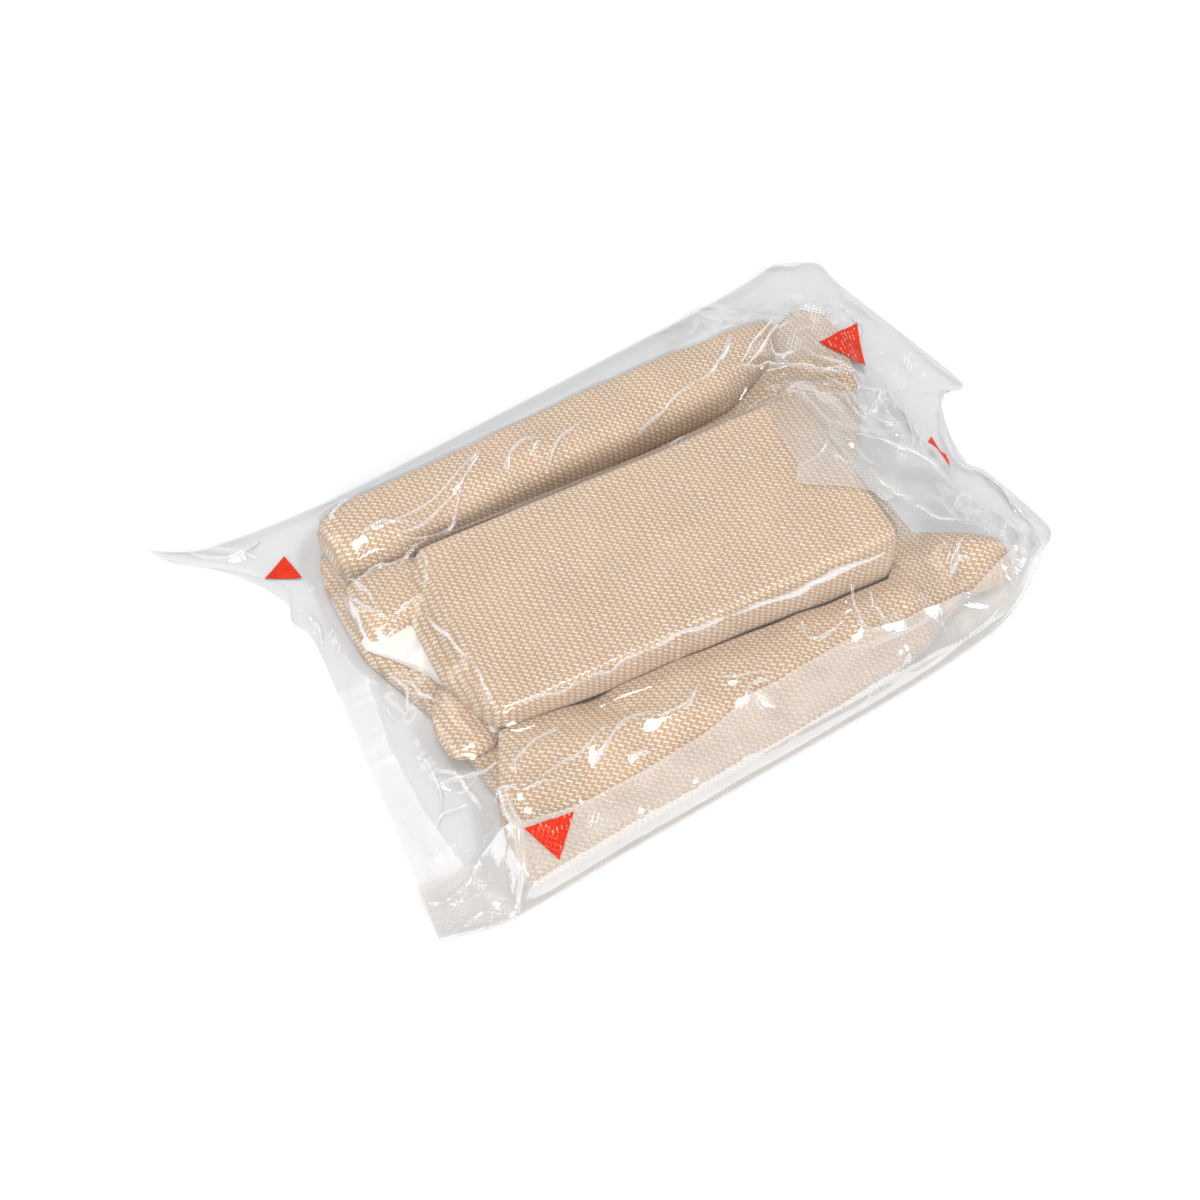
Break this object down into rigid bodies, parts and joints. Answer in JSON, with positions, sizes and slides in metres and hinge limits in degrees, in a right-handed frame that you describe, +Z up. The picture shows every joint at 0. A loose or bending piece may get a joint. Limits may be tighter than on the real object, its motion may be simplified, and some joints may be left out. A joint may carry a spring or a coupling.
{
  "type": "emergency trauma bandage in a sealed clear pouch",
  "caption": "Beige elastic trauma wrap folded flat over a white wound pad, vacuum sealed in a clear pouch with red tear marks.",
  "frame": {"origin": "middle of the bounding box, on the ground under the pouch", "axes": "+X along the pouch's long side, +Y towards the edge with the twisted corner, +Z up"},
  "size_m": [0.2288, 0.1526, 0.0283],
  "materials": {
    "wrap": "knitted elastic",
    "pad": "soft nonwoven",
    "film": "clear glossy film",
    "tear_print": "printed red"
  },
  "bodies": {
    "root": {"pouch_lower_film": "film", "pouch_upper_film": "film", "tear_mark_back_left": "tear_print", "tear_mark_back_right": "tear_print", "tear_mark_front_left": "tear_print", "tear_mark_front_right": "tear_print", "wound_pad": "pad", "wrap_back_roll": "wrap", "wrap_base_layers": "wrap", "wrap_centre_fold": "wrap", "wrap_front_fold": "wrap", "wrap_left_tuck": "wrap"}
  },
  "joints": []
}
